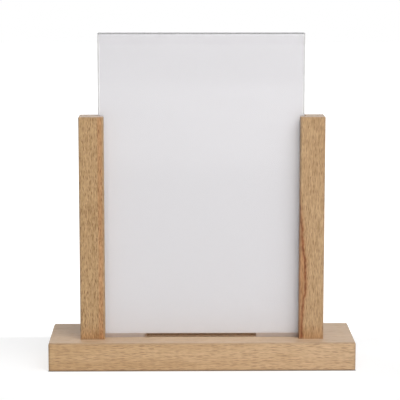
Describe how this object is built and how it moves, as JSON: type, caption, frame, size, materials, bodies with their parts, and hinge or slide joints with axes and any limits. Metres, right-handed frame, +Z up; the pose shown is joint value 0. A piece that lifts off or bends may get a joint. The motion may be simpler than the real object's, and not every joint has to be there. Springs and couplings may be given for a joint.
{
  "type": "photo holder",
  "caption": "Free-standing beech photo holder: grooved square posts on a low block carry a clear flat pocket with a white sheet in it.",
  "frame": {"origin": "middle of the base block's underside", "axes": "+X to the right seen from the front, +Y to the back, +Z up"},
  "size_m": [0.155, 0.045, 0.1696],
  "materials": {
    "beech": "sanded, unvarnished",
    "clear_acrylic": "clear, polished",
    "spacer_strip": "translucent",
    "white_paper": "matte",
    "screw_steel": "bright zinc"
  },
  "bodies": {
    "stand": {"base_block": "beech", "left_post": "beech", "right_post": "beech", "left_post_screw": "screw_steel", "right_post_screw": "screw_steel"},
    "pocket": {"front_plate": "clear_acrylic", "back_plate": "clear_acrylic", "left_side_spacer": "spacer_strip", "right_side_spacer": "spacer_strip", "left_bottom_spacer": "spacer_strip", "right_bottom_spacer": "spacer_strip"},
    "photo": {"photo_sheet": "white_paper"}
  },
  "joints": [
    {"name": "pocket_lift", "type": "slide", "parent": "stand", "child": "pocket", "axis": [0, 0, 1], "range_m": [0, 0.115]},
    {"name": "photo_slide", "type": "slide", "parent": "pocket", "child": "photo", "axis": [0, 0, 1], "range_m": [0, 0.154]}
  ]
}
